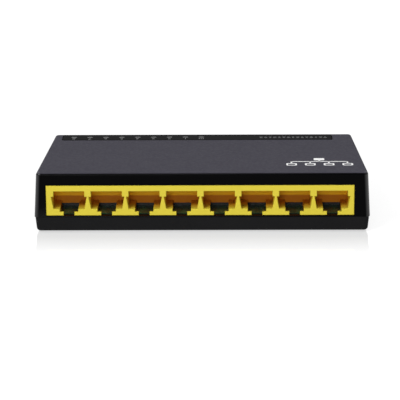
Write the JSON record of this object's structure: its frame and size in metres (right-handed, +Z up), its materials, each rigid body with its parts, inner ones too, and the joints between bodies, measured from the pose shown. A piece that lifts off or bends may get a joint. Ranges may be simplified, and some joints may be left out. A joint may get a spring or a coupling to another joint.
{
  "type": "desktop network switch",
  "caption": "Small flat desktop network switch: dark two-part plastic case, a row of yellow network sockets along one long side, a glossy indicator strip on top along the other.",
  "frame": {"origin": "centre of the case in plan, on the surface the feet stand on", "axes": "+Z up; -Y is the side with the sockets, +Y the side with the indicator strip; +X is to the right when the sockets are faced"},
  "size_m": [0.1248, 0.058, 0.0231],
  "materials": {
    "upper_case": "glossy black skirt, finely textured dark grey top",
    "lower_case": "fine matte texture",
    "smoked_strip": "polished smoked strip",
    "light_guide": "clear acrylic",
    "led_chip": "satin",
    "socket_yellow": "satin moulded",
    "black_insert": "satin moulded",
    "gold_contact": "plated",
    "board_green": "solder mask",
    "chip_black": "moulded epoxy",
    "tin_lead": "tin plated",
    "can_metal": "satin",
    "foot_rubber": "matte",
    "screw_steel": "zinc plated"
  },
  "bodies": {
    "case": {"top_shell": "upper_case", "bottom_shell": "lower_case", "led_window": "smoked_strip", "light_guide": "light_guide", "indicator_leds": "led_chip", "jack_housing": "socket_yellow", "contact_carrier_1": "black_insert", "contact_tails_1": "gold_contact", "contact_carrier_2": "black_insert", "contact_tails_2": "gold_contact", "contact_carrier_3": "black_insert", "contact_tails_3": "gold_contact", "contact_carrier_4": "black_insert", "contact_tails_4": "gold_contact", "contact_carrier_5": "black_insert", "contact_tails_5": "gold_contact", "contact_carrier_6": "black_insert", "contact_tails_6": "gold_contact", "contact_carrier_7": "black_insert", "contact_tails_7": "gold_contact", "contact_carrier_8": "black_insert", "contact_tails_8": "gold_contact", "circuit_board": "board_green", "switch_chip": "chip_black", "switch_chip_leads": "tin_lead", "transformer_1": "chip_black", "transformer_2": "chip_black", "transformer_3": "chip_black", "transformer_4": "chip_black", "transformer_leads": "tin_lead", "crystal": "can_metal", "capacitors": "can_metal", "inductor": "chip_black", "regulator": "chip_black", "resistors": "chip_black", "power_jack_body": "black_insert", "power_jack_pin": "tin_lead", "power_jack_lug": "tin_lead", "foot_1": "foot_rubber", "foot_2": "foot_rubber", "foot_3": "foot_rubber", "foot_4": "foot_rubber", "case_screws": "screw_steel", "board_screws": "screw_steel"},
    "port_1_wires": {"contact_springs_1": "gold_contact"},
    "port_2_wires": {"contact_springs_2": "gold_contact"},
    "port_3_wires": {"contact_springs_3": "gold_contact"},
    "port_4_wires": {"contact_springs_4": "gold_contact"},
    "port_5_wires": {"contact_springs_5": "gold_contact"},
    "port_6_wires": {"contact_springs_6": "gold_contact"},
    "port_7_wires": {"contact_springs_7": "gold_contact"},
    "port_8_wires": {"contact_springs_8": "gold_contact"},
    "power_leaf": {"power_jack_leaf": "tin_lead"}
  },
  "joints": [
    {"name": "port_1_wires_flex", "type": "hinge", "parent": "case", "child": "port_1_wires", "pos_m": [-0.04945, -0.02445, 0.01505], "axis": [1, 0, 0], "range_deg": [0, 10], "stiffness_Nm_per_rad": 0.3},
    {"name": "port_2_wires_flex", "type": "hinge", "parent": "case", "child": "port_2_wires", "pos_m": [-0.03547, -0.02445, 0.01505], "axis": [1, 0, 0], "range_deg": [0, 10], "stiffness_Nm_per_rad": 0.3},
    {"name": "port_3_wires_flex", "type": "hinge", "parent": "case", "child": "port_3_wires", "pos_m": [-0.0215, -0.02445, 0.01505], "axis": [1, 0, 0], "range_deg": [0, 10], "stiffness_Nm_per_rad": 0.3},
    {"name": "port_4_wires_flex", "type": "hinge", "parent": "case", "child": "port_4_wires", "pos_m": [-0.00754, -0.02445, 0.01505], "axis": [1, 0, 0], "range_deg": [0, 10], "stiffness_Nm_per_rad": 0.3},
    {"name": "port_5_wires_flex", "type": "hinge", "parent": "case", "child": "port_5_wires", "pos_m": [0.00643, -0.02445, 0.01505], "axis": [1, 0, 0], "range_deg": [0, 10], "stiffness_Nm_per_rad": 0.3},
    {"name": "port_6_wires_flex", "type": "hinge", "parent": "case", "child": "port_6_wires", "pos_m": [0.0204, -0.02445, 0.01505], "axis": [1, 0, 0], "range_deg": [0, 10], "stiffness_Nm_per_rad": 0.3},
    {"name": "port_7_wires_flex", "type": "hinge", "parent": "case", "child": "port_7_wires", "pos_m": [0.03438, -0.02445, 0.01505], "axis": [1, 0, 0], "range_deg": [0, 10], "stiffness_Nm_per_rad": 0.3},
    {"name": "port_8_wires_flex", "type": "hinge", "parent": "case", "child": "port_8_wires", "pos_m": [0.04834, -0.02445, 0.01505], "axis": [1, 0, 0], "range_deg": [0, 10], "stiffness_Nm_per_rad": 0.3},
    {"name": "power_leaf_flex", "type": "hinge", "parent": "case", "child": "power_leaf", "pos_m": [0.04922, 0.0135, 0.0093], "axis": [0, 1, 0], "range_deg": [0, 6], "stiffness_Nm_per_rad": 0.3}
  ]
}
